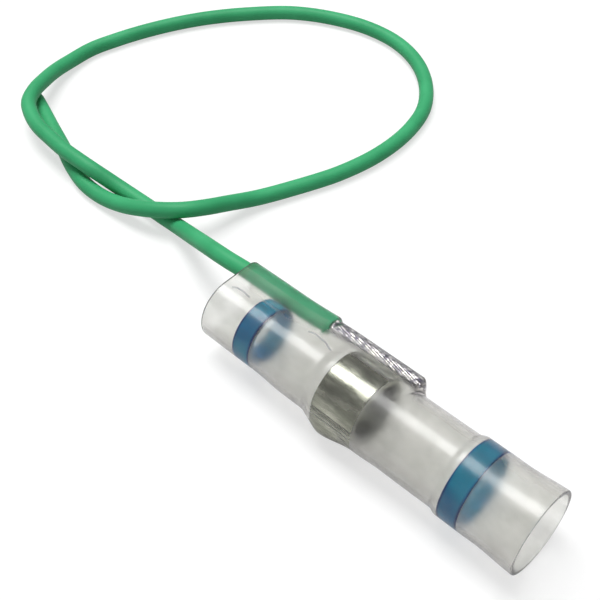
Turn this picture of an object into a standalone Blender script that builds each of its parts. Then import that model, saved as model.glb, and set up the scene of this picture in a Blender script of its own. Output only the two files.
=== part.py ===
"""Solder seal wire connector with a pre-fitted lead.

A clear heat-shrink sleeve lies along X, its open end at +X. Inside it are a solder band in the middle and a
sealing ring near each end. A lead enters at the -X end between the sealing ring and the sleeve, and its bare
twisted strands run over the solder band. Outside, the lead makes one loop on the table.
Metres, +Z up, the table at Z = 0.
"""
import math

import bmesh
import bpy
import numpy as np
from mathutils import Vector

MM = 0.001

# Clear sleeve
SLEEVE_LENGTH = 27.0 * MM
SLEEVE_WALL = 0.27 * MM
LEAD_MOUTH_RADIUS = 2.47 * MM
MIDDLE_RADIUS = 2.64 * MM
NECK_RADIUS = 2.80 * MM
WAIST_RADIUS = 2.95 * MM
OPEN_MOUTH_RADIUS = 3.10 * MM

# Sealing rings, the lead end's and the open end's
RING_WIDTH = 1.55 * MM
RING_THICKNESS = 0.40 * MM
RING_ROUNDING = 0.12 * MM
LEAD_RING_RADIUS = 2.20 * MM
LEAD_RING_INSET = 3.0 * MM
OPEN_RING_RADIUS = 2.68 * MM
OPEN_RING_INSET = 4.25 * MM

# Solder band, with the pressed bulge and creases on its lower front side
SOLDER_WIDTH = 3.5 * MM
SOLDER_RADIUS = 2.60 * MM
SOLDER_THICKNESS = 0.48 * MM
SOLDER_ROUNDING = 0.10 * MM
SOLDER_FROM_MIDDLE = -1.15 * MM
BULGE_HEIGHT = 0.38 * MM
BULGE_RADIUS = 1.3 * MM
BULGE_DIRECTION = math.radians(211)
CREASE_DEPTH = 0.05 * MM
CREASE_WIDTH = math.radians(2.2)
CREASE_DIRECTIONS = [math.radians(angle) for angle in (169, 175, 182)]

# Lead: insulation over 1 + 6 + 12 twisted strands
LEAD_DIAMETER = 1.30 * MM
LEAD_DIRECTION = math.radians(31)
STRAND_LEAD_IN = 2.8 * MM
STRAND_DIAMETER = 0.16 * MM
STRAND_SPACING = 0.015 * MM
STRAND_LAYERS = (1, 6, 12)
STRAND_LAY = 8.5 * MM
STRAND_OVERRUN = 1.3 * MM
STRAND_GRIP = 3.0 * MM

# Clearances: between pieces that touch, and past the strands' inner ends
FIT = 0.025 * MM
BORE_END_GAP = 0.2 * MM

# Free lead: x and y in millimetres from the middle of its exit, and how many leads it lies above the table
LEAD_ROUTE = [
    (-2.1, -0.1, 3.0), (-3.4, -0.01, 2.86), (-4.9, 0.35, 2.42), (-7.0, 1.02, 1.6), (-9.0, 1.72, 0.76),
    (-10.9, 2.21, 0.16), (-12.3, 2.31, 0.0), (-13.7, 2.29, 0.0), (-15.5, 2.23, 0.03), (-17.1, 2.05, 0.2),
    (-18.4, 1.71, 0.56), (-19.5, 1.37, 0.92), (-21.1, 1.2, 1.1), (-22.9, 1.2, 1.12), (-24.9, 1.4, 1.1),
    (-27.0, 1.7, 1.08), (-28.8, 2.3, 1.08), (-30.3, 3.2, 1.12), (-31.2, 4.5, 1.12), (-32.2, 6.3, 0.84),
    (-33.3, 8.5, 0.4), (-33.9, 10.7, 0.1), (-34.1, 12.9, 0.0), (-33.5, 15.8, 0.0), (-32.2, 19.6, 0.0),
    (-30.0, 23.9, 0.0), (-27.3, 27.5, 0.0), (-24.3, 30.5, 0.0), (-20.7, 32.5, 0.0), (-17.2, 33.5, 0.0),
    (-13.7, 33.5, 0.0), (-10.3, 32.3, 0.0), (-7.5, 30.1, 0.0), (-5.5, 27.2, 0.0), (-4.6, 23.9, 0.0),
    (-4.5, 20.0, 0.0), (-5.3, 15.9, 0.0), (-6.8, 12.0, 0.02), (-8.1, 8.7, 0.2), (-8.8, 6.3, 0.68),
    (-9.3, 4.3, 1.14), (-10.2, 2.7, 1.32), (-11.6, 1.7, 1.16), (-13.4, 1.0, 0.8), (-15.4, 0.64, 0.35),
    (-17.5, 0.47, 0.05), (-19.6, 0.54, 0.0), (-22.1, 1.2, 0.0), (-24.8, 2.3, 0.0), (-27.5, 3.3, 0.0),
    (-30.1, 4.3, 0.0), (-32.0, 5.0, 0.0),
]
ROUTE_STEP = 2.2 * MM

# How far the middle of a rounded edge lies inside its corner, as a share of its radius
ARC_MIDDLE = 1 - math.sqrt(0.5)

# Values worked out from the sizes above
LEAD_RADIUS = LEAD_DIAMETER / 2
STRAND_PITCH = STRAND_DIAMETER + STRAND_SPACING
BUNDLE_RADIUS = (len(STRAND_LAYERS) - 1) * STRAND_PITCH + STRAND_DIAMETER / 2

LEAD_END_X = -SLEEVE_LENGTH / 2
OPEN_END_X = SLEEVE_LENGTH / 2
LEAD_RING_X = LEAD_END_X + LEAD_RING_INSET
OPEN_RING_X = OPEN_END_X - OPEN_RING_INSET - RING_WIDTH
SOLDER_X = SOLDER_FROM_MIDDLE - SOLDER_WIDTH / 2
STRIP_X = SOLDER_X - STRAND_LEAD_IN
TIP_X = SOLDER_X + SOLDER_WIDTH + STRAND_OVERRUN

# How far the sleeve stays at a piece's size past its edge, and the lengths over which it then changes size
SEAT_MARGIN = 0.15 * MM
EDGE_DROP = 0.55 * MM
SOLDER_SHOULDER = 1.1 * MM
RING_SHOULDER = 0.7 * MM
RING_RUNOUT = 1.4 * MM


def blend_through(stations, x):
    """Value at x of a curve that eases from each (x, value) station to the next."""
    if x <= stations[0][0]:
        return stations[0][1]
    for (x0, v0), (x1, v1) in zip(stations, stations[1:]):
        if x <= x1:
            t = (x - x0) / (x1 - x0)
            return v0 + (v1 - v0) * t * t * (3 - 2 * t)
    return stations[-1][1]


def seat(start, width, radius):
    """Two stations that hold the sleeve's outer radius over a piece of the given radius."""
    outer = radius + FIT + SLEEVE_WALL
    return [(start - SEAT_MARGIN, outer), (start + width + SEAT_MARGIN, outer)]


SLEEVE_PROFILE = (
    [(LEAD_END_X, LEAD_MOUTH_RADIUS)]
    + seat(LEAD_RING_X, RING_WIDTH, LEAD_RING_RADIUS)
    + [(STRIP_X, MIDDLE_RADIUS), (SOLDER_X - SOLDER_SHOULDER, MIDDLE_RADIUS)]
    + seat(SOLDER_X, SOLDER_WIDTH, SOLDER_RADIUS)
    + [(TIP_X + SOLDER_SHOULDER, NECK_RADIUS), (OPEN_RING_X - RING_SHOULDER, NECK_RADIUS)]
    + seat(OPEN_RING_X, RING_WIDTH, OPEN_RING_RADIUS)
    + [(OPEN_RING_X + RING_WIDTH + RING_RUNOUT, WAIST_RADIUS), (OPEN_END_X, OPEN_MOUTH_RADIUS)]
)

# Distance of the lead's middle from the sleeve's axis
LEAD_OFFSETS = [
    (LEAD_RING_X + RING_WIDTH + SEAT_MARGIN, LEAD_RING_RADIUS + FIT + LEAD_RADIUS),
    (SOLDER_X - SEAT_MARGIN, SOLDER_RADIUS + FIT + BUNDLE_RADIUS),
]

# Radius of what the sleeve's ridge covers: insulation, then bare strands
RIDGE_RADII = [
    (STRIP_X + SEAT_MARGIN, LEAD_RADIUS + FIT),
    (STRIP_X + SEAT_MARGIN + EDGE_DROP, BUNDLE_RADIUS + FIT),
]

# Height of the pressed bulge above the round sleeve
BULGE_HEIGHTS = [
    (SOLDER_X - EDGE_DROP, 0.0),
    (SOLDER_X + SOLDER_WIDTH / 4, BULGE_HEIGHT),
    (SOLDER_X + SOLDER_WIDTH, 0.0),
]


def sleeve_radius(x):
    return blend_through(SLEEVE_PROFILE, x)


def lead_offset(x):
    return blend_through(LEAD_OFFSETS, x)


def round_core(x):
    """Circles that the sleeve's inside is drawn over, without the lead: (distance, direction, radius)."""
    inner = sleeve_radius(x) - SLEEVE_WALL
    bulge = blend_through(BULGE_HEIGHTS, x)
    circles = [(0.0, 0.0, inner)]
    if bulge > 0:
        circles.append((inner + bulge - BULGE_RADIUS, BULGE_DIRECTION, BULGE_RADIUS))
    return circles


def sleeve_core(x):
    """All circles that the sleeve's inside is drawn over, with the lead or its strands."""
    circles = round_core(x)
    radius = blend_through(RIDGE_RADII, x)
    offset = lead_offset(x)
    flush = sleeve_radius(x) - SLEEVE_WALL - radius
    ridge_end = TIP_X + SEAT_MARGIN
    offset = blend_through([(ridge_end, offset), (ridge_end + EDGE_DROP, flush)], x)
    circles.append((offset, LEAD_DIRECTION, radius))
    return circles


def reach(circles, direction):
    """How far a skin drawn tight over the circles reaches in a direction, from the axis."""
    return max(d * math.cos(direction - a) + r for d, a, r in circles)


# Directions to either side of a polar angle that can limit the skin there
FAN = np.radians(np.linspace(-80, 80, 641))


def skin_radius(circles, polar, outset):
    """Distance from the axis, at a polar angle, of a skin drawn tight over the circles, plus an outset."""
    directions = polar + FAN
    reaches = np.max([d * np.cos(directions - a) + r for d, a, r in circles], axis=0)
    return float(np.min((reaches + outset) / np.cos(FAN)))


def polar_steps(coarse, fine, middle, half_width):
    """Polar angles all the way round, in coarse steps, and in fine steps around a middle angle."""
    fine_count = round(2 * half_width / fine)
    coarse_count = round((2 * math.pi - 2 * half_width) / coarse)
    start = middle - half_width
    angles = [start + 2 * half_width * i / fine_count for i in range(fine_count)]
    rest = 2 * math.pi - 2 * half_width
    return angles + [start + 2 * half_width + rest * i / coarse_count for i in range(coarse_count)]


def section_steps(stations, longest):
    """Positions along X at every station, and between them at no more than the longest spacing."""
    marks = sorted(set(stations))
    steps = [marks[0]]
    for mark in marks[1:]:
        count = max(1, math.ceil((mark - steps[-1]) / longest - 0.01))
        start = steps[-1]
        steps += [start + (mark - start) * i / count for i in range(1, count + 1)]
    return steps


SLEEVE_MARKS = (
    [x for x, _ in SLEEVE_PROFILE] + [x for x, _ in RIDGE_RADII] + [x for x, _ in BULGE_HEIGHTS]
    + [TIP_X + SEAT_MARGIN, TIP_X + SEAT_MARGIN + EDGE_DROP / 2, TIP_X + SEAT_MARGIN + EDGE_DROP]
)
LONGEST_SECTION = 1.3 * MM
SLEEVE_STEPS = section_steps(SLEEVE_MARKS, LONGEST_SECTION)

# The sleeve lies on the table, and the origin is under the middle of its box
DOWN, LEFT, RIGHT = -math.pi / 2, math.pi, 0.0


def sleeve_reach(direction):
    return max(reach(sleeve_core(x), direction) for x in SLEEVE_STEPS) + SLEEVE_WALL


AXIS_Z = sleeve_reach(DOWN)
AXIS_Y = (sleeve_reach(LEFT) - sleeve_reach(RIGHT)) / 2


def around_axis(x, distance, direction):
    """Point at a distance and a direction from the sleeve's axis; 0 is +Y and 90 degrees is up."""
    return Vector((x, AXIS_Y + distance * math.cos(direction), AXIS_Z + distance * math.sin(direction)))


def lead_middle(x):
    return around_axis(x, lead_offset(x), LEAD_DIRECTION)


# Building blocks

def remove_everything():
    for old in list(bpy.data.objects):
        bpy.data.objects.remove(old, do_unlink=True)


def make_collection(name):
    collection = bpy.data.collections.new(name)
    bpy.context.scene.collection.children.link(collection)
    return collection


def principled(name, color, roughness, metallic=0.0, alpha=1.0):
    material = bpy.data.materials.new(name)
    material.use_nodes = True
    shader = material.node_tree.nodes["Principled BSDF"]
    shader.inputs["Base Color"].default_value = (*color, 1.0)
    shader.inputs["Roughness"].default_value = roughness
    shader.inputs["Metallic"].default_value = metallic
    shader.inputs["Alpha"].default_value = alpha
    return material


def add_object(name, data, collection, material):
    piece = bpy.data.objects.new(name, data)
    piece.data.materials.append(material)
    collection.objects.link(piece)
    return piece


def shade_round(mesh, sharp=math.radians(40)):
    mesh.shade_smooth()
    mesh.set_sharp_from_angle(angle=sharp)


def loft_shell(name, outer_rings, inner_rings, collection, material):
    """Closed tube between two lists of rings of points, with a flat rim at each end."""
    bm = bmesh.new()
    outer = [[bm.verts.new(p) for p in ring] for ring in outer_rings]
    inner = [[bm.verts.new(p) for p in ring] for ring in inner_rings]
    count = len(outer[0])
    for i in range(count):
        j = (i + 1) % count
        for near, far in zip(outer, outer[1:]):
            bm.faces.new((near[i], far[i], far[j], near[j]))
        for near, far in zip(inner, inner[1:]):
            bm.faces.new((near[j], far[j], far[i], near[i]))
        bm.faces.new((outer[0][j], inner[0][j], inner[0][i], outer[0][i]))
        bm.faces.new((outer[-1][i], inner[-1][i], inner[-1][j], outer[-1][j]))
    bmesh.ops.recalc_face_normals(bm, faces=bm.faces)
    mesh = bpy.data.meshes.new(name)
    bm.to_mesh(mesh)
    bm.free()
    shade_round(mesh)
    return add_object(name, mesh, collection, material)


def turned_ring(name, profile, x, steps, collection, material):
    """Ring turned about the sleeve's axis from a closed profile of (radius, height) points."""
    bm = bmesh.new()
    verts = [bm.verts.new((radius, 0.0, height)) for radius, height in profile]
    for i, vert in enumerate(verts):
        bm.edges.new((vert, verts[(i + 1) % len(verts)]))
    mesh = bpy.data.meshes.new(name)
    bm.to_mesh(mesh)
    bm.free()
    ring = add_object(name, mesh, collection, material)
    ring.location = around_axis(x, 0.0, 0.0)
    ring.rotation_euler = (0.0, math.pi / 2, 0.0)
    turn = ring.modifiers.new("turn", "SCREW")
    turn.steps = steps
    turn.render_steps = steps
    turn.use_merge_vertices = True
    turn.merge_threshold = 0.001 * MM
    turn.use_smooth_shade = True
    return ring


def wire_curve(name, points, radius, bevel_resolution, collection, material):
    """Round wire with capped ends through the given points."""
    curve = bpy.data.curves.new(name, "CURVE")
    curve.dimensions = "3D"
    curve.bevel_depth = radius
    curve.bevel_resolution = bevel_resolution
    curve.use_fill_caps = True
    spline = curve.splines.new("POLY")
    spline.points.add(len(points) - 1)
    for spline_point, point in zip(spline.points, points):
        spline_point.co = (*point, 1.0)
    spline.use_smooth = True
    return add_object(name, curve, collection, material)


def curve_to_mesh(source, collection):
    """Replace a curve object by a mesh object of the same name, with its caps welded."""
    name = source.name
    graph = bpy.context.evaluated_depsgraph_get()
    mesh = bpy.data.meshes.new_from_object(source.evaluated_get(graph))
    matrix = source.matrix_world.copy()
    bpy.data.objects.remove(source, do_unlink=True)
    bm = bmesh.new()
    bm.from_mesh(mesh)
    bmesh.ops.remove_doubles(bm, verts=bm.verts, dist=0.001 * MM)
    bm.to_mesh(mesh)
    bm.free()
    piece = bpy.data.objects.new(name, mesh)
    piece.matrix_world = matrix
    collection.objects.link(piece)
    return piece


def smooth_route(points, step):
    """Points at an even step along a smooth curve through the given points, never sunk into the table."""
    gaps = [(b - a).length for a, b in zip(points, points[1:])]
    slopes = [(points[1] - points[0]) / gaps[0]]
    for i in range(1, len(points) - 1):
        before = (points[i] - points[i - 1]) / gaps[i - 1]
        after = (points[i + 1] - points[i]) / gaps[i]
        slopes.append((before * gaps[i] + after * gaps[i - 1]) / (gaps[i - 1] + gaps[i]))
    slopes.append((points[-1] - points[-2]) / gaps[-1])
    dense = []
    pieces_per_gap = 24
    for i, gap in enumerate(gaps):
        for k in range(pieces_per_gap):
            t = k / pieces_per_gap
            dense.append(
                points[i] * (2 * t**3 - 3 * t**2 + 1) + slopes[i] * gap * (t**3 - 2 * t**2 + t)
                + points[i + 1] * (3 * t**2 - 2 * t**3) + slopes[i + 1] * gap * (t**3 - t**2)
            )
    dense.append(points[-1])
    lengths = np.concatenate([[0.0], np.cumsum([(b - a).length for a, b in zip(dense, dense[1:])])])
    count = math.ceil(lengths[-1] / step)
    marks = np.linspace(0.0, lengths[-1], count + 1)
    x, y, z = (np.interp(marks, lengths, [p[axis] for p in dense]) for axis in range(3))
    return [Vector(p) for p in zip(x, y, np.maximum(z, LEAD_RADIUS))]


# The pieces

def build_sleeve(collection):
    """Clear tube drawn tight over the rings, the solder band and the lead."""
    material = principled("clear_sleeve", (0.80, 0.80, 0.77), 0.22, alpha=0.35)
    angles = polar_steps(math.radians(6), math.radians(3.5), LEAD_DIRECTION, math.radians(35))
    outer = []
    inner = []
    for x in SLEEVE_STEPS:
        circles = sleeve_core(x)
        outer.append([around_axis(x, skin_radius(circles, a, SLEEVE_WALL), a) for a in angles])
        inner.append([around_axis(x, skin_radius(circles, a, 0.0), a) for a in angles])
    return loft_shell("shrink_sleeve", outer, inner, collection, material)


def build_sealing_ring(name, x, radius, collection, material):
    """Sealing ring: a short thick-walled tube with rounded outer edges."""
    inner = radius - RING_THICKNESS
    arc_middle = ARC_MIDDLE * RING_ROUNDING
    profile = [
        (inner, RING_WIDTH),
        (radius - RING_ROUNDING, RING_WIDTH),
        (radius - arc_middle, RING_WIDTH - arc_middle),
        (radius, RING_WIDTH - RING_ROUNDING),
        (radius, RING_ROUNDING),
        (radius - arc_middle, arc_middle),
        (radius - RING_ROUNDING, 0.0),
        (inner, 0.0),
    ]
    return turned_ring(name, profile, x, 48, collection, material)


def crease(polar):
    """Depth of the solder band's creases at a polar angle."""
    depths = [
        CREASE_DEPTH * max(0.0, 1 - abs((polar % (2 * math.pi)) - middle) / CREASE_WIDTH)
        for middle in CREASE_DIRECTIONS
    ]
    return max(depths)


def build_solder_ring(collection):
    """Solder band with rounded edges, a pressed bulge and creases along it."""
    material = principled("solder", (0.72, 0.70, 0.62), 0.28, metallic=1.0)
    creased = (CREASE_DIRECTIONS[0] + CREASE_DIRECTIONS[-1]) / 2
    half_width = (CREASE_DIRECTIONS[-1] - CREASE_DIRECTIONS[0]) / 2 + 2 * CREASE_WIDTH
    angles = polar_steps(math.radians(7.5), CREASE_WIDTH / 2, creased, half_width)
    bore = SOLDER_RADIUS - SOLDER_THICKNESS
    end = SOLDER_X + SOLDER_WIDTH
    arc_middle = ARC_MIDDLE * SOLDER_ROUNDING
    rounding = [(0.0, SOLDER_ROUNDING), (arc_middle, arc_middle), (SOLDER_ROUNDING, 0.0)]
    places = [(SOLDER_X + along, inset) for along, inset in rounding]
    middle_steps = 5
    span = SOLDER_WIDTH - 2 * SOLDER_ROUNDING
    places += [(SOLDER_X + SOLDER_ROUNDING + span * i / middle_steps, 0.0) for i in range(1, middle_steps)]
    places += [(end - along, inset) for along, inset in reversed(rounding)]
    outer = []
    inner = []
    for x, inset in places:
        circles = round_core(x)
        outer.append([
            around_axis(x, skin_radius(circles, a, -FIT - inset) - crease(a), a) for a in angles
        ])
        inner.append([around_axis(x, bore, a) for a in angles])
    return loft_shell("solder_ring", outer, inner, collection, material)


def lead_route():
    """The lead's middle, from the stripped edge through the sleeve and along the table to its cut end."""
    inside_steps = 6
    points = [
        lead_middle(STRIP_X + (LEAD_END_X - STRIP_X) * i / inside_steps) for i in range(inside_steps + 1)
    ]
    exit_point = points[-1]
    for x, y, leads_up in LEAD_ROUTE:
        height = LEAD_RADIUS + leads_up * LEAD_DIAMETER
        points.append(Vector((exit_point.x + x * MM, exit_point.y + y * MM, height)))
    return points


def build_insulation(collection, cutters):
    """Insulation of the lead, bored at its stripped end for the strands."""
    material = principled("lead_green", (0.055, 0.42, 0.16), 0.38)
    points = smooth_route(lead_route(), ROUTE_STEP)
    tube = wire_curve("lead_insulation", points, LEAD_RADIUS, 2, collection, material)
    insulation = curve_to_mesh(tube, collection)

    bore_start = STRIP_X - STRAND_GRIP - BORE_END_GAP
    bore_end = STRIP_X + LEAD_RADIUS
    bore_steps = 4
    bore_points = [
        lead_middle(bore_start + (bore_end - bore_start) * i / bore_steps) for i in range(bore_steps + 1)
    ]
    drill = wire_curve("strand_bore", bore_points, BUNDLE_RADIUS + FIT, 3, cutters, material)
    cutter = curve_to_mesh(drill, cutters)
    cutter.hide_render = True
    cutter.display_type = "WIRE"
    cut = insulation.modifiers.new("strand_bore", "BOOLEAN")
    cut.operation = "DIFFERENCE"
    cut.object = cutter
    insulation.data.shade_smooth()
    return insulation


def build_strands(collection):
    """Tinned strands in layers, twisted about the lead's middle and lying over the solder band."""
    material = principled("tinned_strand", (0.78, 0.78, 0.76), 0.25, metallic=1.0)
    start = STRIP_X - STRAND_GRIP
    steps = 18
    number = 0
    for layer, count in enumerate(STRAND_LAYERS):
        for k in range(count):
            number += 1
            points = []
            for i in range(steps + 1):
                x = start + (TIP_X - start) * i / steps
                turn = 2 * math.pi * (k / count + (x - start) / STRAND_LAY)
                sideways = Vector((0.0, math.cos(turn), math.sin(turn))) * (layer * STRAND_PITCH)
                points.append(lead_middle(x) + sideways)
            wire_curve(f"strand_{number:02d}", points, STRAND_DIAMETER / 2, 1, collection, material)


def main():
    remove_everything()
    parts = make_collection("solder_seal_wire_connector")
    cutters = make_collection("cutters")
    build_sleeve(parts)
    blue = principled("sealing_blue", (0.035, 0.19, 0.36), 0.35)
    build_sealing_ring("sealing_ring_lead_end", LEAD_RING_X, LEAD_RING_RADIUS, parts, blue)
    other_blue = principled("sealing_blue_open_end", (0.035, 0.19, 0.36), 0.35)
    build_sealing_ring("sealing_ring_open_end", OPEN_RING_X, OPEN_RING_RADIUS, parts, other_blue)
    build_solder_ring(parts)
    build_insulation(parts, cutters)
    build_strands(parts)


main()
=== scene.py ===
"""Looks of the solder seal wire connector: sleeve, sealing rings, solder band, green lead and strands."""
import math

import bmesh
import bpy
import numpy as np
from mathutils import Matrix, Vector
from mathutils import noise as perlin


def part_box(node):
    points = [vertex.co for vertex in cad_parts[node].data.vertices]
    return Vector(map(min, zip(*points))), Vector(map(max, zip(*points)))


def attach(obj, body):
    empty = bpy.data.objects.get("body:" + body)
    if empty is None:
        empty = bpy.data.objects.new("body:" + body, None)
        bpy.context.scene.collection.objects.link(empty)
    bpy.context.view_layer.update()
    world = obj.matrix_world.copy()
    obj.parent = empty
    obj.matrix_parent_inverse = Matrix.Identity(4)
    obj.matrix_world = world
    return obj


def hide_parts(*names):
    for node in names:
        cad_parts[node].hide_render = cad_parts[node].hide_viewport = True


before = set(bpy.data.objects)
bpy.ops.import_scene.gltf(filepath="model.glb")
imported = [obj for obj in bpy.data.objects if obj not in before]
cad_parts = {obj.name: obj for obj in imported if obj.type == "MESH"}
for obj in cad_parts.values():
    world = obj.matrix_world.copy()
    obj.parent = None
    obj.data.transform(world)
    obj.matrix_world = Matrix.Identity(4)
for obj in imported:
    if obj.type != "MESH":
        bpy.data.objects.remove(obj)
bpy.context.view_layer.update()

MM = 0.001

# Places and sizes from the frame
SLEEVE_LOW, SLEEVE_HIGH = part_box("shrink_sleeve")
LEAD_RING_LOW, LEAD_RING_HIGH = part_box("sealing_ring_lead_end")
OPEN_RING_LOW, OPEN_RING_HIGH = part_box("sealing_ring_open_end")
SOLDER_LOW, SOLDER_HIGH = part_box("solder_ring")
RING_X = [(LEAD_RING_LOW.x, LEAD_RING_HIGH.x), (OPEN_RING_LOW.x, OPEN_RING_HIGH.x)]
AXIS_Y = (OPEN_RING_LOW.y + OPEN_RING_HIGH.y) / 2
AXIS_Z = (OPEN_RING_LOW.z + OPEN_RING_HIGH.z) / 2
LEAD_RING_RADIUS = (LEAD_RING_HIGH.z - LEAD_RING_LOW.z) / 2
OPEN_RING_RADIUS = (OPEN_RING_HIGH.z - OPEN_RING_LOW.z) / 2
SOLDER_RADIUS = SOLDER_HIGH.z - AXIS_Z

# Sleeve on what it holds: clearance in the solids, a seat's reach past its piece, and how far it closes in
FIT = 0.025 * MM
SEAT_MARGIN = 0.15 * MM
CONTACT = 0.060 * MM

# The lead and its strands; the outer ones are drawn thicker, where tin has run together between them
LEAD_DIAMETER = 1.30 * MM
LEAD_RADIUS = LEAD_DIAMETER / 2
LEAD_DIRECTION = math.radians(31)
LEAD_RIM = 0.05 * MM
STRAND_DIAMETER = 0.16 * MM
STRAND_GAP = 0.015 * MM
TINNED_DIAMETER = 0.26 * MM
STRAND_PITCH = STRAND_DIAMETER + STRAND_GAP
STRAND_LAYERS = (1, 6, 12)
STRAND_LAY = 8.5 * MM
STRAND_LEAD_IN = 2.8 * MM
STRAND_OVERRUN = 1.3 * MM
STRAND_GRIP = 3.0 * MM
CUT_STRAND_LENGTH = 0.8 * MM
BUNDLE_RADIUS = (len(STRAND_LAYERS) - 1) * STRAND_PITCH + STRAND_DIAMETER / 2
STRIP_X = SOLDER_LOW.x - STRAND_LEAD_IN
TIP_X = SOLDER_HIGH.x + STRAND_OVERRUN

# The sleeve: wall and rims, outer radii where it is round, how it steps down, its bulge and its ripples
SLEEVE_WALL = 0.27 * MM
SLEEVE_RIM = 0.07 * MM
LEAD_MOUTH_RADIUS = 2.47 * MM
MIDDLE_RADIUS = 2.64 * MM
NECK_RADIUS = 2.80 * MM
WAIST_RADIUS = 2.95 * MM
OPEN_MOUTH_RADIUS = 3.10 * MM
EDGE_DROP = 0.55 * MM
STRIP_DROP = 0.40 * MM
TIP_DROP = 0.95 * MM
MELT = 0.15 * MM
SOLDER_SHOULDER = 1.1 * MM
RING_SHOULDER = 0.7 * MM
RING_RUNOUT = 1.4 * MM
BULGE_HEIGHT = 0.38 * MM
BULGE_RADIUS = 1.3 * MM
BULGE_DIRECTION = math.radians(211)
RIPPLE_DEPTH = 0.035 * MM
RIPPLE_ALONG = 0.38
RIPPLE_AROUND = 1.5

# Share of the inside's frost left, by degrees to either side of the lead, which clears what it touches
CLEARED_FROST = 0.15
FROST_BESIDE_LEAD = [(30, CLEARED_FROST), (52, 1.0)]
FROST_BESIDE_STRANDS = [(12, CLEARED_FROST), (19, 0.6), (42, 0.6), (58, 1.0)]

# How clear both sides of the wall are over the strands, by the same degrees
CLEAR_OVER_STRANDS = [(12, 1.0), (17, 0.0)]

# Right of each ring the inside is clearer, as if sealing plastic wetted it: shares of frost and milk left
WETTED_FROST = 0.5
WETTED_MILK = 0.05
WET_WIDTH = 2.2 * MM
WET_FADE = 0.7 * MM

# How far inside the sleeve the painted light on the lead fades in
PAINTED_LIGHT_FADE = 0.40 * MM

# Two scratches on the outside of the sleeve: x in millimetres and polar angle in degrees along each
SCRATCHES = [
    [(-12.8, 89.0), (-12.4, 84.5), (-11.9, 83.7), (-11.1, 86.0)],
    [(-6.1, 76.9), (-5.5, 73.8), (-4.8, 74.8), (-3.8, 82.0)],
]
SCRATCH_WIDTH = 0.10 * MM

# Sealing rings: wall, rounded edges, how far they have melted into the sleeve, and the width of the painted
# shade at their edges
RING_THICKNESS = 0.40 * MM
RING_ROUNDING = 0.12 * MM
RING_MELT = 0.01 * MM
PAINTED_EDGE_SHADE_WIDTH = 0.22 * MM

# Solder band: its wall, its rounded edges, the creases on its lower front side and its slight dents
SOLDER_THICKNESS = 0.48 * MM
SOLDER_ROUNDING = 0.10 * MM
CREASE_DEPTH = 0.05 * MM
CREASE_WIDTH = math.radians(2.2)
CREASE_DIRECTIONS = [math.radians(angle) for angle in (169, 175, 182)]
DENT_DEPTH = 0.008 * MM
DENTS_ALONG = 0.5
DENTS_AROUND = 3

# Fineness of the meshes
SLEEVE_AROUND = 196
SLEEVE_ALONG = 236
RING_AROUND = 160
RING_ARC_STEPS = 6
SOLDER_AROUND = 480
SOLDER_ALONG = 40
LEAD_AROUND = 28
LEAD_STEP = 0.45 * MM
ROUTE_STEPS = 24
INSIDE_STEPS = 6
STRAND_STEPS = 90
WIRE_BEVEL = 3
QUARTER_TURN = [math.radians(angle) for angle in (0, 22.5, 45, 67.5, 90)]
SHARP_ANGLE = math.radians(40)

# The lead's bore: how many steps deep it is at the cut end, and the share to which its bottom closes in
CUT_BORE_STEPS = 2
BORE_BOTTOM = 0.02

# Free lead: x and y in millimetres from the middle of its exit, and how many leads it lies above the table
LEAD_ROUTE = [
    (-2.1, -0.1, 3.0), (-3.4, -0.01, 2.86), (-4.9, 0.35, 2.42), (-7.0, 1.02, 1.6), (-9.0, 1.72, 0.76),
    (-10.9, 2.21, 0.16), (-12.3, 2.31, 0.0), (-13.7, 2.29, 0.0), (-15.5, 2.23, 0.03), (-17.1, 2.05, 0.2),
    (-18.4, 1.71, 0.56), (-19.5, 1.37, 0.92), (-21.1, 1.2, 1.1), (-22.9, 1.2, 1.12), (-24.9, 1.4, 1.1),
    (-27.0, 1.7, 1.08), (-28.8, 2.3, 1.08), (-30.3, 3.2, 1.12), (-31.2, 4.5, 1.12), (-32.2, 6.3, 0.84),
    (-33.3, 8.5, 0.4), (-33.9, 10.7, 0.1), (-34.1, 12.9, 0.0), (-33.5, 15.8, 0.0), (-32.2, 19.6, 0.0),
    (-30.0, 23.9, 0.0), (-27.3, 27.5, 0.0), (-24.3, 30.5, 0.0), (-20.7, 32.5, 0.0), (-17.2, 33.5, 0.0),
    (-13.7, 33.5, 0.0), (-10.3, 32.3, 0.0), (-7.5, 30.1, 0.0), (-5.5, 27.2, 0.0), (-4.6, 23.9, 0.0),
    (-4.5, 20.0, 0.0), (-5.3, 15.9, 0.0), (-6.8, 12.0, 0.02), (-8.1, 8.7, 0.2), (-8.8, 6.3, 0.68),
    (-9.3, 4.3, 1.14), (-10.2, 2.7, 1.32), (-11.6, 1.7, 1.16), (-13.4, 1.0, 0.8), (-15.4, 0.64, 0.35),
    (-17.5, 0.47, 0.05), (-19.6, 0.54, 0.0), (-22.1, 1.2, 0.0), (-24.8, 2.3, 0.0), (-27.5, 3.3, 0.0),
    (-30.1, 4.3, 0.0), (-32.0, 5.0, 0.0),
]

# Colours of clear plastic, from clean through stained to scratched
SLEEVE_TINTS = [(0.0, (0.985, 0.99, 0.955)), (0.3, (0.88, 0.89, 0.85)), (0.7, (0.24, 0.24, 0.30))]

# Colours of a sealing ring, from painted shade at its edges through its own blues outside to painted light
# on its inner face
RING_BLUES = [
    (0.1, (0.004, 0.05, 0.20)), (0.32, (0.012, 0.20, 0.43)), (0.45, (0.018, 0.31, 0.50)),
    (0.62, (0.022, 0.32, 0.50)), (0.78, (0.012, 0.37, 0.60)), (0.87, (0.008, 0.23, 0.56)),
]

# Colours of the solder, from painted shade in its bore to bare metal
SOLDER_GREYS = [(0.0, (0.10, 0.105, 0.085)), (0.3, (0.19, 0.20, 0.155)), (0.7, (0.54, 0.55, 0.47))]
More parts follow.
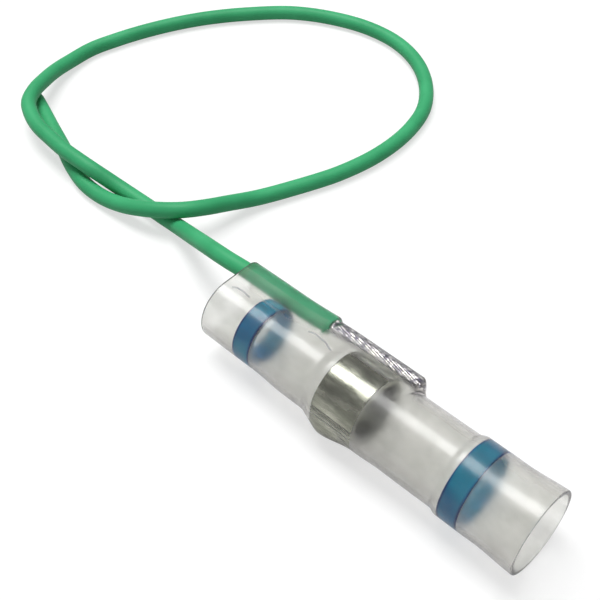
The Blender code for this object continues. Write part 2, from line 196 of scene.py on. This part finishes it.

# Colours of the insulation, from its own greens to paler ones that paint light on it inside the sleeve
LEAD_GREENS = [
    (0.0, (0.040, 0.37, 0.150)), (0.4, (0.054, 0.44, 0.185)),
    (0.6, (0.068, 0.56, 0.260)), (1.0, (0.085, 0.64, 0.320)),
]

# Colours of the tinned strands, from dull to bright
TIN_GREYS = [(0.35, (0.17, 0.16, 0.23)), (0.62, (0.82, 0.81, 0.83))]

# What the sleeve's plastic takes from light on its way through
ABSORPTION_DENSITY = 1100.0
ABSORPTION_TINT = (0.86, 0.835, 0.845, 1.0)

# Depth of the grain of the insulation
GRAIN_DEPTH = 0.006 * MM

# Table: size in metres, grey, glow, and the share of the glow in reflections and through clear plastic
TABLE_SIZE = 3.0
TABLE_GREY = (0.40, 0.40, 0.40, 1.0)
TABLE_GLOW = 0.62
GLOW_SHARES = [("Is Glossy Ray", 0.6), ("Is Transmission Ray", 1.0)]

# Sky: its strength at the horizon and overhead, and the upward part of a direction where the fade ends
SKY_AT_HORIZON = 0.48
SKY_OVERHEAD = 0.35
SKY_FADE_HEIGHT = 0.4

# Lamps: name, place and size in metres, and radiance
LAMPS = [
    ("overhead", Vector((-0.18, 0.06, 0.50)), (0.42, 0.25), 8.2),
    ("fill", Vector((0.10, -0.45, 0.30)), (0.35, 0.35), 0.6),
]

# Camera, from the photograph: it looks at a point just above the table
CAMERA_TARGET = Vector((-11.86, 5.79, 0.10)) * MM
CAMERA_DISTANCE = 82.73 * MM
CAMERA_AZIMUTH = math.radians(42.92)
CAMERA_ELEVATION = math.radians(47.71)
CAMERA_NEAR = 0.001
CAMERA_FAR = 10
PHOTO_SIZE = 600
FOCAL_PIXELS = 1100
SENSOR_WIDTH = 36.0


# Shapes

def around_axis(x, distance, direction):
    """Point at a distance and a direction from the sleeve's axis; 0 is +Y and 90 degrees is up."""
    return Vector((x, AXIS_Y + distance * math.cos(direction), AXIS_Z + distance * math.sin(direction)))


def full_turn(count):
    """Angles of points spread evenly around a circle."""
    return [2 * math.pi * k / count for k in range(count)]


def blend_through(stations, x):
    """Value at x of a curve that eases from each (x, value) station to the next."""
    if x <= stations[0][0]:
        return stations[0][1]
    for (x0, v0), (x1, v1) in zip(stations, stations[1:]):
        if x <= x1:
            t = (x - x0) / (x1 - x0)
            return v0 + (v1 - v0) * t * t * (3 - 2 * t)
    return stations[-1][1]


def lead_offset(x):
    """Distance of the middle of the lead, and of its bare strands, from the sleeve's axis."""
    near = LEAD_RING_RADIUS + FIT + LEAD_RADIUS
    far = SOLDER_RADIUS + FIT + BUNDLE_RADIUS
    return blend_through([(LEAD_RING_HIGH.x + SEAT_MARGIN, near), (SOLDER_LOW.x - SEAT_MARGIN, far)], x)


def lead_middle(x):
    """Middle of the lead, or of its bare strands, inside the sleeve."""
    return around_axis(x, lead_offset(x), LEAD_DIRECTION)


def seat(low_x, high_x, radius):
    """Two stations that hold the sleeve's outer radius over a piece of the given radius."""
    outer = radius + FIT + SLEEVE_WALL
    return [(low_x - SEAT_MARGIN, outer), (high_x + SEAT_MARGIN, outer)]


SLEEVE_PROFILE = (
    [(SLEEVE_LOW.x, LEAD_MOUTH_RADIUS)]
    + seat(*RING_X[0], LEAD_RING_RADIUS)
    + [(STRIP_X, MIDDLE_RADIUS), (SOLDER_LOW.x - SOLDER_SHOULDER, MIDDLE_RADIUS)]
    + seat(SOLDER_LOW.x, SOLDER_HIGH.x, SOLDER_RADIUS)
    + [(TIP_X + SOLDER_SHOULDER, NECK_RADIUS), (OPEN_RING_LOW.x - RING_SHOULDER, NECK_RADIUS)]
    + seat(*RING_X[1], OPEN_RING_RADIUS)
    + [(OPEN_RING_HIGH.x + RING_RUNOUT, WAIST_RADIUS), (SLEEVE_HIGH.x, OPEN_MOUTH_RADIUS)]
)


def sleeve_core(x, melted=False):
    """Circles that the sleeve is drawn tight over: (distance, direction, radius).

    Its inside has melted around the ends of what it covers, so there it steps down sooner than its outside.
    """
    inner = blend_through(SLEEVE_PROFILE, x) - SLEEVE_WALL
    strip_start = STRIP_X - MELT if melted else STRIP_X + 2 * FIT
    strip_drop = 2 * MELT if melted else STRIP_DROP
    tip_start = TIP_X - MELT
    tip_drop = 2 * MELT if melted else TIP_DROP
    ridge = blend_through(
        [(strip_start, LEAD_RADIUS + FIT), (strip_start + strip_drop, BUNDLE_RADIUS + FIT)], x)
    offset = blend_through([(tip_start, lead_offset(x)), (tip_start + tip_drop, inner - ridge)], x)
    circles = [(0.0, 0.0, inner), (offset, LEAD_DIRECTION, ridge)]
    bulge_top = SOLDER_LOW.x + (SOLDER_HIGH.x - SOLDER_LOW.x) / 4
    bulge = blend_through(
        [(SOLDER_LOW.x - EDGE_DROP, 0.0), (bulge_top, BULGE_HEIGHT), (SOLDER_HIGH.x, 0.0)], x)
    if bulge > 0:
        circles.append((inner + bulge - BULGE_RADIUS, BULGE_DIRECTION, BULGE_RADIUS))
    return circles


# Directions to either side of a polar angle that can limit the skin there
FAN = np.radians(np.linspace(-80, 80, 641))


def skin_radii(circles, polars, outset):
    """Distances from the axis, at polar angles, of a skin drawn tight over the circles, plus an outset."""
    directions = np.asarray(polars)[:, None] + FAN[None, :]
    reaches = np.max([d * np.cos(directions - a) + r for d, a, r in circles], axis=0)
    return np.min((reaches + outset) / np.cos(FAN), axis=1)


def smooth_route(points, step):
    """Points at an even step along a smooth curve through the given points, never sunk into the table."""
    gaps = [(b - a).length for a, b in zip(points, points[1:])]
    slopes = [(points[1] - points[0]) / gaps[0]]
    for i in range(1, len(points) - 1):
        before = (points[i] - points[i - 1]) / gaps[i - 1]
        after = (points[i + 1] - points[i]) / gaps[i]
        slopes.append((before * gaps[i] + after * gaps[i - 1]) / (gaps[i - 1] + gaps[i]))
    slopes.append((points[-1] - points[-2]) / gaps[-1])
    dense = []
    for i, gap in enumerate(gaps):
        for k in range(ROUTE_STEPS):
            t = k / ROUTE_STEPS
            dense.append(
                points[i] * (2 * t**3 - 3 * t**2 + 1) + slopes[i] * gap * (t**3 - 2 * t**2 + t)
                + points[i + 1] * (3 * t**2 - 2 * t**3) + slopes[i + 1] * gap * (t**3 - t**2)
            )
    dense.append(points[-1])
    lengths = np.concatenate([[0.0], np.cumsum([(b - a).length for a, b in zip(dense, dense[1:])])])
    marks = np.linspace(0.0, lengths[-1], math.ceil(lengths[-1] / step) + 1)
    x, y, z = (np.interp(marks, lengths, [p[axis] for p in dense]) for axis in range(3))
    return [Vector(p) for p in zip(x, y, np.maximum(z, LEAD_RADIUS))]


def lead_route():
    """The lead's middle, from the stripped edge through the sleeve and along the table to its cut end."""
    points = [
        lead_middle(STRIP_X + (SLEEVE_LOW.x - STRIP_X) * i / INSIDE_STEPS) for i in range(INSIDE_STEPS + 1)
    ]
    exit_point = points[-1]
    for x, y, leads_up in LEAD_ROUTE:
        height = LEAD_RADIUS + leads_up * LEAD_DIAMETER
        points.append(Vector((exit_point.x + x * MM, exit_point.y + y * MM, height)))
    return points


def add_mesh(name, bm):
    """Object of a finished bmesh, with round surfaces shaded smooth."""
    bmesh.ops.recalc_face_normals(bm, faces=bm.faces)
    mesh = bpy.data.meshes.new(name)
    bm.to_mesh(mesh)
    bm.free()
    mesh.shade_smooth()
    mesh.set_sharp_from_angle(angle=SHARP_ANGLE)
    piece = bpy.data.objects.new(name, mesh)
    bpy.context.scene.collection.objects.link(piece)
    return piece


def closed_loops(bm, loops, ring_closed=True):
    """Skin over loops of points that are joined in order, and the last one to the first if ring_closed."""
    rows = [[bm.verts.new(p) for p in loop] for loop in loops]
    count = len(rows[0])
    pairs = list(zip(rows, rows[1:]))
    if ring_closed:
        pairs.append((rows[-1], rows[0]))
    for near, far in pairs:
        for i in range(count):
            j = (i + 1) % count
            bm.faces.new((near[i], far[i], far[j], near[j]))
    return rows


def point_values(piece, *names):
    """New values at the points of a piece's mesh, which its material reads by their names."""
    attributes = piece.data.attributes
    for name in names:
        attributes.new(name, "FLOAT", "POINT")
    return [attributes[name].data for name in names]


def dress(piece, material, solid):
    """Finish a piece: its material, the solid it stands for and its body."""
    piece.data.materials.append(material)
    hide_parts(solid)
    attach(piece, "root")


# Materials

def principled(name, **settings):
    """Material with one Principled shader, its sockets set by name."""
    material = bpy.data.materials.new(name)
    material.use_nodes = True
    shader = material.node_tree.nodes["Principled BSDF"]
    for socket, value in settings.items():
        shader.inputs[socket.replace("_", " ")].default_value = value
    return material, shader


def add_node(material, kind, **settings):
    """New node, with its sockets and properties set by name."""
    node = material.node_tree.nodes.new(kind)
    for key, value in settings.items():
        if key in node.inputs:
            node.inputs[key].default_value = value
        else:
            setattr(node, key, value)
    return node


def link(material, output, socket):
    """Join an output to a socket."""
    material.node_tree.links.new(output, socket)


def noise(material, scale, detail=3.0, roughness=0.5, stretch=(1.0, 1.0, 1.0)):
    """Noise in the object's own coordinates, in cycles per millimetre."""
    place = add_node(material, "ShaderNodeTexCoord")
    mapping = add_node(material, "ShaderNodeMapping")
    mapping.inputs["Scale"].default_value = [s / MM for s in stretch]
    texture = add_node(material, "ShaderNodeTexNoise", Scale=scale, Detail=detail, Roughness=roughness)
    link(material, place.outputs["Object"], mapping.inputs["Vector"])
    link(material, mapping.outputs["Vector"], texture.inputs["Vector"])
    return texture.outputs["Fac"]


def spread(material, value, from_range, to_range):
    """Value remapped from one range to another."""
    remap = add_node(material, "ShaderNodeMapRange")
    remap.inputs["From Min"].default_value, remap.inputs["From Max"].default_value = from_range
    remap.inputs["To Min"].default_value, remap.inputs["To Max"].default_value = to_range
    link(material, value, remap.inputs["Value"])
    return remap.outputs["Result"]


def color_ramp(material, value, stops):
    """Colour at a value, from (position, colour) stops."""
    ramp = add_node(material, "ShaderNodeValToRGB")
    elements = ramp.color_ramp.elements
    while len(elements) < len(stops):
        elements.new(0.5)
    for element, (position, color) in zip(elements, stops):
        element.position = position
        element.color = (*color, 1.0)
    link(material, value, ramp.inputs["Fac"])
    return ramp.outputs["Color"]


def bump(material, shader, height, depth):
    """Bump of a real depth in metres."""
    node = add_node(material, "ShaderNodeBump", Strength=1.0, Distance=depth)
    link(material, height, node.inputs["Height"])
    link(material, node.outputs["Normal"], shader.inputs["Normal"])


def stored(material, name):
    """Value that the mesh stores at its points."""
    return add_node(material, "ShaderNodeAttribute", attribute_name=name).outputs["Fac"]


def combine(material, operation, first, second):
    """Result of a sum, a product or the like of two values."""
    node = add_node(material, "ShaderNodeMath", operation=operation)
    link(material, first, node.inputs[0])
    link(material, second, node.inputs[1])
    return node.outputs["Value"]


def sleeve_material():
    """Clear heat-shrink plastic: glossy outside, frosted and milky inside, with stains and scratches."""
    material, shader = principled("clear_sleeve", IOR=1.45, Specular_IOR_Level=0.5)
    scratch = stored(material, "scratch")
    spots = noise(material, 0.9, detail=4.0, roughness=0.6, stretch=(0.7, 1.0, 1.0))
    shade = combine(material, "MAXIMUM", scratch, spread(material, spots, (0.42, 0.64), (0, 0.3)))
    link(material, color_ramp(material, shade, SLEEVE_TINTS), shader.inputs["Base Color"])

    drifts = noise(material, 0.40, detail=4.0, roughness=0.6, stretch=(0.8, 1.0, 1.0))
    clouds = combine(material, "MULTIPLY", spread(material, drifts, (0.35, 0.72), (0.99, 0.95)),
                     spread(material, scratch, (0, 1), (1, 0.55)))
    patches = noise(material, 0.8, detail=4.0, roughness=0.6)
    milk = add_node(material, "ShaderNodeMix", data_type="FLOAT", A=1.0)
    link(material, stored(material, "milk"), milk.inputs["Factor"])
    link(material, spread(material, patches, (0.38, 0.64), (0.98, 0.76)), milk.inputs["B"])
    passed = combine(material, "MULTIPLY", clouds, milk.outputs["Result"])
    link(material, passed, shader.inputs["Transmission Weight"])

    haze = noise(material, 0.35, detail=4.0, roughness=0.55, stretch=(0.6, 1.0, 1.0))
    frost = add_node(material, "ShaderNodeMix", data_type="FLOAT")
    link(material, stored(material, "frost"), frost.inputs["Factor"])
    link(material, spread(material, haze, (0.2, 0.8), (0.17, 0.28)), frost.inputs["A"])
    link(material, spread(material, haze, (0.2, 0.8), (0.32, 0.45)), frost.inputs["B"])
    clearing = spread(material, stored(material, "clear"), (0, 1), (1, 0.3))
    roughness = combine(material, "MULTIPLY", frost.outputs["Result"], clearing)
    link(material, roughness, shader.inputs["Roughness"])

    absorption = add_node(material, "ShaderNodeVolumeAbsorption", Density=ABSORPTION_DENSITY)
    absorption.inputs["Color"].default_value = ABSORPTION_TINT
    output = material.node_tree.nodes["Material Output"]
    link(material, absorption.outputs["Volume"], output.inputs["Volume"])
    return material


def ring_material():
    """Blue sealing plastic, uneven in colour, with painted shade at its edges and painted light on its inner
    face.
    """
    material, shader = principled("sealing_blue", Roughness=0.3, IOR=1.48, Specular_IOR_Level=0.12)
    uneven = spread(material, noise(material, 0.22, detail=2.0), (0.38, 0.62), (0.50, 0.21))
    # Painted shade darkens the rounded edges and painted light brightens the inner face
    ring_painted_light_and_shade = spread(material, stored(material, "ring_painted_light_and_shade"), (-1, 1), (-0.3, 0.5))
    shade = combine(material, "ADD", uneven, ring_painted_light_and_shade)
    link(material, color_ramp(material, shade, RING_BLUES), shader.inputs["Base Color"])
    return material


def solder_material():
    """Dull silver solder, streaked along its length, with painted shade in its bore."""
    material, shader = principled("solder", Metallic=1.0, Roughness=0.3)
    streaks = noise(material, 1.8, stretch=(0.25, 1.0, 1.0))
    # Painted shade: the bore is darkened
    bore_shade = spread(material, stored(material, "bore"), (0, 1), (0, 0.5))
    shade = combine(material, "SUBTRACT", streaks, bore_shade)
    link(material, color_ramp(material, shade, SOLDER_GREYS), shader.inputs["Base Color"])
    link(material, spread(material, streaks, (0.2, 0.8), (0.18, 0.31)), shader.inputs["Roughness"])
    return material


def insulation_material():
    """Satin green insulation, with painted light that makes it paler inside the sleeve."""
    material, shader = principled("lead_green", Roughness=0.5, IOR=1.5, Specular_IOR_Level=0.25)
    uneven = spread(material, noise(material, 0.25), (0.35, 0.65), (0, 0.4))
    # Painted light: the lead is paler where the sleeve covers it
    painted_light_in_sleeve = spread(material, stored(material, "painted_light_in_sleeve"), (0, 1), (0, 0.6))
    shade = combine(material, "ADD", uneven, painted_light_in_sleeve)
    link(material, color_ramp(material, shade, LEAD_GREENS), shader.inputs["Base Color"])
    bump(material, shader, noise(material, 5.0, detail=4.0), GRAIN_DEPTH)
    return material


def strand_material():
    """Bright tinned copper, dull in places."""
    material, shader = principled("tinned_strand", Metallic=1.0, Roughness=0.13)
    cloud = noise(material, 3.0, detail=4.0)
    link(material, color_ramp(material, cloud, TIN_GREYS), shader.inputs["Base Color"])
    return material


# Pieces

def ripples(x, polar):
    """Slight hollows that shrinking leaves in the sleeve, never outside its size."""
    place = Vector((x / MM * RIPPLE_ALONG, RIPPLE_AROUND * math.cos(polar), RIPPLE_AROUND * math.sin(polar)))
    return RIPPLE_DEPTH * (0.5 + 0.5 * perlin.noise(place))


def scratch_at(x, polar):
    """How much of a scratch runs through a place on the outside of the sleeve, from 0 to 1."""
    deepest = 0.0
    for scratch in SCRATCHES:
        if scratch[0][0] * MM <= x <= scratch[-1][0] * MM:
            line = blend_through([(along * MM, angle) for along, angle in scratch], x)
            off = abs(math.degrees(polar) - line) * math.radians(1) * MIDDLE_RADIUS
            deepest = max(deepest, 1 - off / SCRATCH_WIDTH)
    return deepest


def over_strands(x):
    """1 where the sleeve lies over the bare strands, 0 beyond them."""
    return blend_through(
        [(STRIP_X, 0.0), (STRIP_X + STRIP_DROP, 1.0), (TIP_X, 1.0), (TIP_X + TIP_DROP, 0.0)], x)


def wetted(x):
    """1 in the clearer stretch right of a ring, 0 elsewhere."""
    return max(
        blend_through([
            (ring_end, 0.0), (ring_end + WET_FADE, 1.0),
            (ring_end + WET_WIDTH, 1.0), (ring_end + WET_WIDTH + WET_FADE, 0.0),
        ], x)
        for _, ring_end in RING_X
    )


def build_sleeve():
    """The clear sleeve: softly rounded rims, slight ripples, and shrunk onto what it holds."""
    polars = full_turn(SLEEVE_AROUND)
    x_values = np.linspace(SLEEVE_LOW.x, SLEEVE_HIGH.x, SLEEVE_ALONG)
    inner = np.array([skin_radii(sleeve_core(x, melted=True), polars, -CONTACT) for x in x_values])
    outer = np.array([skin_radii(sleeve_core(x), polars, SLEEVE_WALL) for x in x_values])
    outer -= np.array([[ripples(x, a) for a in polars] for x in x_values])
    between_rims = [
        i for i, x in enumerate(x_values) if SLEEVE_RIM < x - SLEEVE_LOW.x and SLEEVE_RIM < SLEEVE_HIGH.x - x
    ]

    def loop_at(x, radii, inset=0.0):
        return [around_axis(x, r - inset, a) for r, a in zip(radii, polars)]

    def rim_loops(end_x, inward, radii, side):
        """Loops of a rounded rim, from the wall's face to its end; side is 1 outside and -1 inside."""
        return [
            loop_at(end_x + inward * SLEEVE_RIM * (1 - math.sin(turn)), radii,
                    side * SLEEVE_RIM * (1 - math.cos(turn)))
            for turn in QUARTER_TURN
        ]

    sections = [
        (1, [loop_at(x_values[i], outer[i]) for i in between_rims]),
        (1, rim_loops(SLEEVE_HIGH.x, -1, outer[-1], 1)),
        (-1, rim_loops(SLEEVE_HIGH.x, -1, inner[-1], -1)[::-1]),
        (-1, [loop_at(x_values[i], inner[i]) for i in between_rims[::-1]]),
        (-1, rim_loops(SLEEVE_LOW.x, 1, inner[0], -1)),
        (1, rim_loops(SLEEVE_LOW.x, 1, outer[0], 1)[::-1]),
    ]
    sides = [side for side, loops in sections for _ in loops]
    bm = bmesh.new()
    closed_loops(bm, [loop for _, loops in sections for loop in loops])
    piece = add_mesh("clear_sleeve", bm)
    frost, milk, clear, scratch = point_values(piece, "frost", "milk", "clear", "scratch")
    for i, vertex in enumerate(piece.data.vertices):
        x = vertex.co.x
        polar = polars[i % SLEEVE_AROUND]
        turn = polar - LEAD_DIRECTION
        off_lead = math.degrees(abs(math.atan2(math.sin(turn), math.cos(turn))))
        bare = over_strands(x)
        clear[i].value = bare * blend_through(CLEAR_OVER_STRANDS, off_lead)
        if sides[i // SLEEVE_AROUND] < 0:
            beside_lead = blend_through(FROST_BESIDE_LEAD, off_lead)
            beside_strands = blend_through(FROST_BESIDE_STRANDS, off_lead)
            left = beside_lead + (beside_strands - beside_lead) * bare
            wet = wetted(x)
            frost[i].value = left * (1 + (WETTED_FROST - 1) * wet)
            milk[i].value = left * (1 + (WETTED_MILK - 1) * wet)
        else:
            scratch[i].value = scratch_at(x, polar)
    dress(piece, sleeve_material(), "shrink_sleeve")


def build_ring(end, low, high, seat_radius, material):
    """Sealing ring with well rounded edges, melted onto the sleeve's inside."""
    radius = seat_radius + (FIT + RING_MELT)
    thickness = RING_THICKNESS + FIT
    outer_r = radius - RING_ROUNDING
    inner_r = radius - thickness + RING_ROUNDING
    corners = [
        (high.x - RING_ROUNDING, outer_r, 1, 1, (90, 0)),
        (low.x + RING_ROUNDING, outer_r, -1, 1, (0, 90)),
        (low.x + RING_ROUNDING, inner_r, -1, -1, (90, 0)),
        (high.x - RING_ROUNDING, inner_r, 1, -1, (0, 90)),
    ]
    profile = []
    for x, r, along, out, (start, stop) in corners:
        for k in range(RING_ARC_STEPS + 1):
            turn = math.radians(start + (stop - start) * k / RING_ARC_STEPS)
            profile.append(
                (x + along * RING_ROUNDING * math.sin(turn), r + out * RING_ROUNDING * math.cos(turn)))
        if (along, out) == (1, 1):
            profile += [(high.x - PAINTED_EDGE_SHADE_WIDTH, radius), (low.x + PAINTED_EDGE_SHADE_WIDTH, radius)]
    bm = bmesh.new()
    closed_loops(bm, [[around_axis(x, r, a) for a in full_turn(RING_AROUND)] for x, r in profile])
    piece = add_mesh(f"blue_ring_{end}", bm)
    # Painted light on the inner face (1) and painted shade fading in towards each edge (below 0)
    ring_painted_light_and_shade, = point_values(piece, "ring_painted_light_and_shade")
    for vertex, stored_value in zip(piece.data.vertices, ring_painted_light_and_shade):
        from_end = min(high.x - vertex.co.x, vertex.co.x - low.x)
        from_axis = math.hypot(vertex.co.y - AXIS_Y, vertex.co.z - AXIS_Z)
        stored_value.value = 1.0 if from_axis < inner_r else -max(0.0, 1 - from_end / PAINTED_EDGE_SHADE_WIDTH)
    dress(piece, material, f"sealing_ring_{end}")


def crease(polar):
    """Depth of the solder band's creases at a polar angle."""
    return max(
        CREASE_DEPTH * max(0.0, 1 - abs(polar - middle) / CREASE_WIDTH) for middle in CREASE_DIRECTIONS)


def dent(x, polar):
    """Depth of the solder band's dents at a place."""
    place = Vector((x / MM * DENTS_ALONG, DENTS_AROUND * math.cos(polar), DENTS_AROUND * math.sin(polar)))
    return DENT_DEPTH * (0.5 + 0.5 * perlin.noise(place))


def build_solder():
    """Solder band with rounded edges, its pressed bulge and creases, and the slight dents of soft metal."""
    polars = full_turn(SOLDER_AROUND)
    creases = np.array([crease(a) for a in polars])
    bore = SOLDER_RADIUS - SOLDER_THICKNESS
    flat = SOLDER_HIGH.x - SOLDER_LOW.x - 2 * SOLDER_ROUNDING
    rounded = [
        (SOLDER_ROUNDING * (1 - math.cos(a)), SOLDER_ROUNDING * (1 - math.sin(a))) for a in QUARTER_TURN
    ]
    places = [(SOLDER_LOW.x + inward, inset) for inward, inset in rounded]
    places += [
        (SOLDER_LOW.x + SOLDER_ROUNDING + flat * k / SOLDER_ALONG, 0.0) for k in range(1, SOLDER_ALONG)
    ]
    places += [(SOLDER_HIGH.x - inward, inset) for inward, inset in rounded[::-1]]
    loops = []
    for x, inset in places:
        circles = [circle for circle in sleeve_core(x) if circle[1] != LEAD_DIRECTION]
        dents = np.array([dent(x, a) for a in polars])
        radii = skin_radii(circles, polars, -FIT - inset) - creases - dents
        loops.append([around_axis(x, r, a) for r, a in zip(radii, polars)])
    loops += [[around_axis(x, bore, a) for a in polars] for x in (SOLDER_HIGH.x, SOLDER_LOW.x)]
    bm = bmesh.new()
    closed_loops(bm, loops)
    piece = add_mesh("solder_band", bm)
    in_bore, = point_values(piece, "bore")
    # Marks the bore's points, where the material paints shade
    for i, stored_value in enumerate(in_bore):
        stored_value.value = 1.0 if i // SOLDER_AROUND >= len(places) else 0.0
    dress(piece, solder_material(), "solder_ring")


def sweep_frames(points):
    """Two sideways directions at each point of a path, which turn as little as they can."""
    last = len(points) - 1
    ahead = [(points[min(i + 1, last)] - points[max(i - 1, 0)]).normalized() for i in range(len(points))]
    side = ahead[0].orthogonal().normalized()
    frames = []
    for direction in ahead:
        side = (side - direction * side.dot(direction)).normalized()
        frames.append((side, direction.cross(side)))
    return frames


def build_insulation():
    """Green insulation, open at both ends around the conductor; returns the lead's path and its frames."""
    points = smooth_route(lead_route(), LEAD_STEP)
    frames = sweep_frames(points)
    bore = BUNDLE_RADIUS + FIT

    def ring(index, radius):
        side, up = frames[index]
        return [
            points[index] + (side * math.cos(a) + up * math.sin(a)) * radius for a in full_turn(LEAD_AROUND)
        ]

    grip_index = math.ceil(STRAND_GRIP / LEAD_STEP) + 1
    cut_index = len(points) - 1 - CUT_BORE_STEPS
    loops = [ring(grip_index, bore * BORE_BOTTOM), ring(grip_index, bore)]
    loops += [ring(i, bore) for i in range(grip_index - 1, 0, -1)]
    loops += [ring(0, bore), ring(0, LEAD_RADIUS - LEAD_RIM)]
    loops += [ring(i, LEAD_RADIUS) for i in range(1, len(points) - 1)]
    loops += [ring(-1, LEAD_RADIUS - LEAD_RIM), ring(-1, bore)]
    loops += [ring(cut_index, bore), ring(cut_index, bore * BORE_BOTTOM)]
    bm = bmesh.new()
    rows = closed_loops(bm, loops, ring_closed=False)
    bm.faces.new(rows[0])
    bm.faces.new(rows[-1])
    piece = add_mesh("green_lead", bm)
    painted_light_in_sleeve, = point_values(piece, "painted_light_in_sleeve")
    # Painted light on the lead inside the sleeve, fading in past its mouth
    for vertex, stored_value in zip(piece.data.vertices, painted_light_in_sleeve):
        stored_value.value = blend_through(
            [(SLEEVE_LOW.x, 0.0), (SLEEVE_LOW.x + PAINTED_LIGHT_FADE, 1.0)], vertex.co.x)
    dress(piece, insulation_material(), "lead_insulation")
    return points, frames


def build_wire(name, points, radius):
    """Round wire as a curve with capped ends."""
    curve = bpy.data.curves.new(name, "CURVE")
    curve.dimensions = "3D"
    curve.bevel_depth = radius
    curve.bevel_resolution = WIRE_BEVEL
    curve.use_fill_caps = True
    spline = curve.splines.new("POLY")
    spline.points.add(len(points) - 1)
    for spline_point, point in zip(spline.points, points):
        spline_point.co = (*point, 1.0)
    spline.use_smooth = True
    piece = bpy.data.objects.new(name, curve)
    bpy.context.scene.collection.objects.link(piece)
    return piece


def strand_places():
    """Number, layer and starting angle of each strand, from the middle outwards."""
    places = [(layer, angle) for layer, count in enumerate(STRAND_LAYERS) for angle in full_turn(count)]
    return [(number, layer, angle) for number, (layer, angle) in enumerate(places, start=1)]


def build_strands(material):
    """Strands in layers, twisted about the middle of the lead."""
    start = STRIP_X - STRAND_GRIP
    for number, layer, angle in strand_places():
        outermost = layer == len(STRAND_LAYERS) - 1
        radius = (TINNED_DIAMETER if outermost else STRAND_DIAMETER) / 2
        distance = BUNDLE_RADIUS - radius if outermost else layer * STRAND_PITCH
        points = []
        for i in range(STRAND_STEPS + 1):
            x = start + (TIP_X - start) * i / STRAND_STEPS
            turn = angle + 2 * math.pi * (x - start) / STRAND_LAY
            points.append(lead_middle(x) + Vector((0.0, math.cos(turn), math.sin(turn))) * distance)
        wire = build_wire(f"tinned_strand_{number:02d}", points, radius)
        dress(wire, material, f"strand_{number:02d}")


def build_cut_end(points, frames, material):
    """Strand ends showing in the insulation at the lead's cut end."""
    end = points[-1]
    side, up = frames[-1]
    back = (points[-1] - points[-2]).normalized() * CUT_STRAND_LENGTH
    for number, layer, angle in strand_places():
        middle = end + (side * math.cos(angle) + up * math.sin(angle)) * (layer * STRAND_PITCH)
        wire = build_wire(f"cut_strand_{number:02d}", [middle - back, middle], STRAND_DIAMETER / 2)
        wire.data.materials.append(material)
        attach(wire, "root")


# Stage

def build_table():
    """White table, which keeps the object's shadow."""
    bpy.ops.mesh.primitive_plane_add(size=TABLE_SIZE)
    floor = bpy.context.object
    floor.name = "table"
    material, shader = principled(
        "table_white", Base_Color=TABLE_GREY, Emission_Color=(1, 1, 1, 1), Roughness=0.8,
        Specular_IOR_Level=0.2)
    path = add_node(material, "ShaderNodeLightPath")
    seen = path.outputs["Is Camera Ray"]
    for ray, share in GLOW_SHARES:
        seen = combine(material, "MAXIMUM", seen, spread(material, path.outputs[ray], (0, 1), (0, share)))
    link(material, spread(material, seen, (0, 1), (0, TABLE_GLOW)), shader.inputs["Emission Strength"])
    floor.data.materials.append(material)


def build_sky():
    """Even sky, slightly brighter towards the horizon."""
    world = bpy.data.worlds.new("studio")
    bpy.context.scene.world = world
    world.use_nodes = True
    tree = world.node_tree
    tree.nodes.clear()
    output = tree.nodes.new("ShaderNodeOutputWorld")
    sky = tree.nodes.new("ShaderNodeBackground")
    place = tree.nodes.new("ShaderNodeTexCoord")
    split = tree.nodes.new("ShaderNodeSeparateXYZ")
    fade = tree.nodes.new("ShaderNodeMapRange")
    fade.interpolation_type = "SMOOTHSTEP"
    fade.inputs["From Min"].default_value = 0.0
    fade.inputs["From Max"].default_value = SKY_FADE_HEIGHT
    fade.inputs["To Min"].default_value = SKY_AT_HORIZON
    fade.inputs["To Max"].default_value = SKY_OVERHEAD
    tree.links.new(place.outputs["Generated"], split.inputs["Vector"])
    tree.links.new(split.outputs["Z"], fade.inputs["Value"])
    tree.links.new(fade.outputs["Result"], sky.inputs["Strength"])
    tree.links.new(sky.outputs["Background"], output.inputs["Surface"])


def build_lamp(name, place, size, radiance):
    """Area lamp that faces the object, with its long side along X, as bright as its radiance says."""
    light = bpy.data.lights.new(name, "AREA")
    light.shape = "RECTANGLE"
    light.size, light.size_y = size
    light.energy = radiance * math.pi * size[0] * size[1]
    holder = bpy.data.objects.new(name, light)
    back = (place - CAMERA_TARGET).normalized()
    along = (Vector((1, 0, 0)) - back * back.x).normalized()
    across = back.cross(along)
    holder.matrix_world = Matrix((along, across, back)).transposed().to_4x4()
    holder.location = place
    bpy.context.scene.collection.objects.link(holder)


def build_camera():
    """Camera at the photograph's angle, with its field of view."""
    camera_data = bpy.data.cameras.new("camera")
    camera_data.sensor_width = SENSOR_WIDTH
    camera_data.lens = SENSOR_WIDTH * FOCAL_PIXELS / PHOTO_SIZE
    camera_data.clip_start = CAMERA_NEAR
    camera_data.clip_end = CAMERA_FAR
    camera = bpy.data.objects.new("camera", camera_data)
    back = Vector((
        math.sin(CAMERA_AZIMUTH) * math.cos(CAMERA_ELEVATION),
        -math.cos(CAMERA_AZIMUTH) * math.cos(CAMERA_ELEVATION),
        math.sin(CAMERA_ELEVATION),
    ))
    camera.location = CAMERA_TARGET + back * CAMERA_DISTANCE
    camera.rotation_mode = "QUATERNION"
    camera.rotation_quaternion = (-back).to_track_quat("-Z", "Y")
    bpy.context.scene.collection.objects.link(camera)
    bpy.context.scene.camera = camera


build_table()
build_sky()
for lamp in LAMPS:
    build_lamp(*lamp)
build_camera()
bpy.context.scene.view_settings.view_transform = "Standard"

lead_points, lead_frames = build_insulation()
build_sleeve()
blue = ring_material()
build_ring("lead_end", LEAD_RING_LOW, LEAD_RING_HIGH, LEAD_RING_RADIUS, blue)
build_ring("open_end", OPEN_RING_LOW, OPEN_RING_HIGH, OPEN_RING_RADIUS, blue)
build_solder()
tinned = strand_material()
build_strands(tinned)
build_cut_end(lead_points, lead_frames, tinned)

bpy.context.view_layer.update()
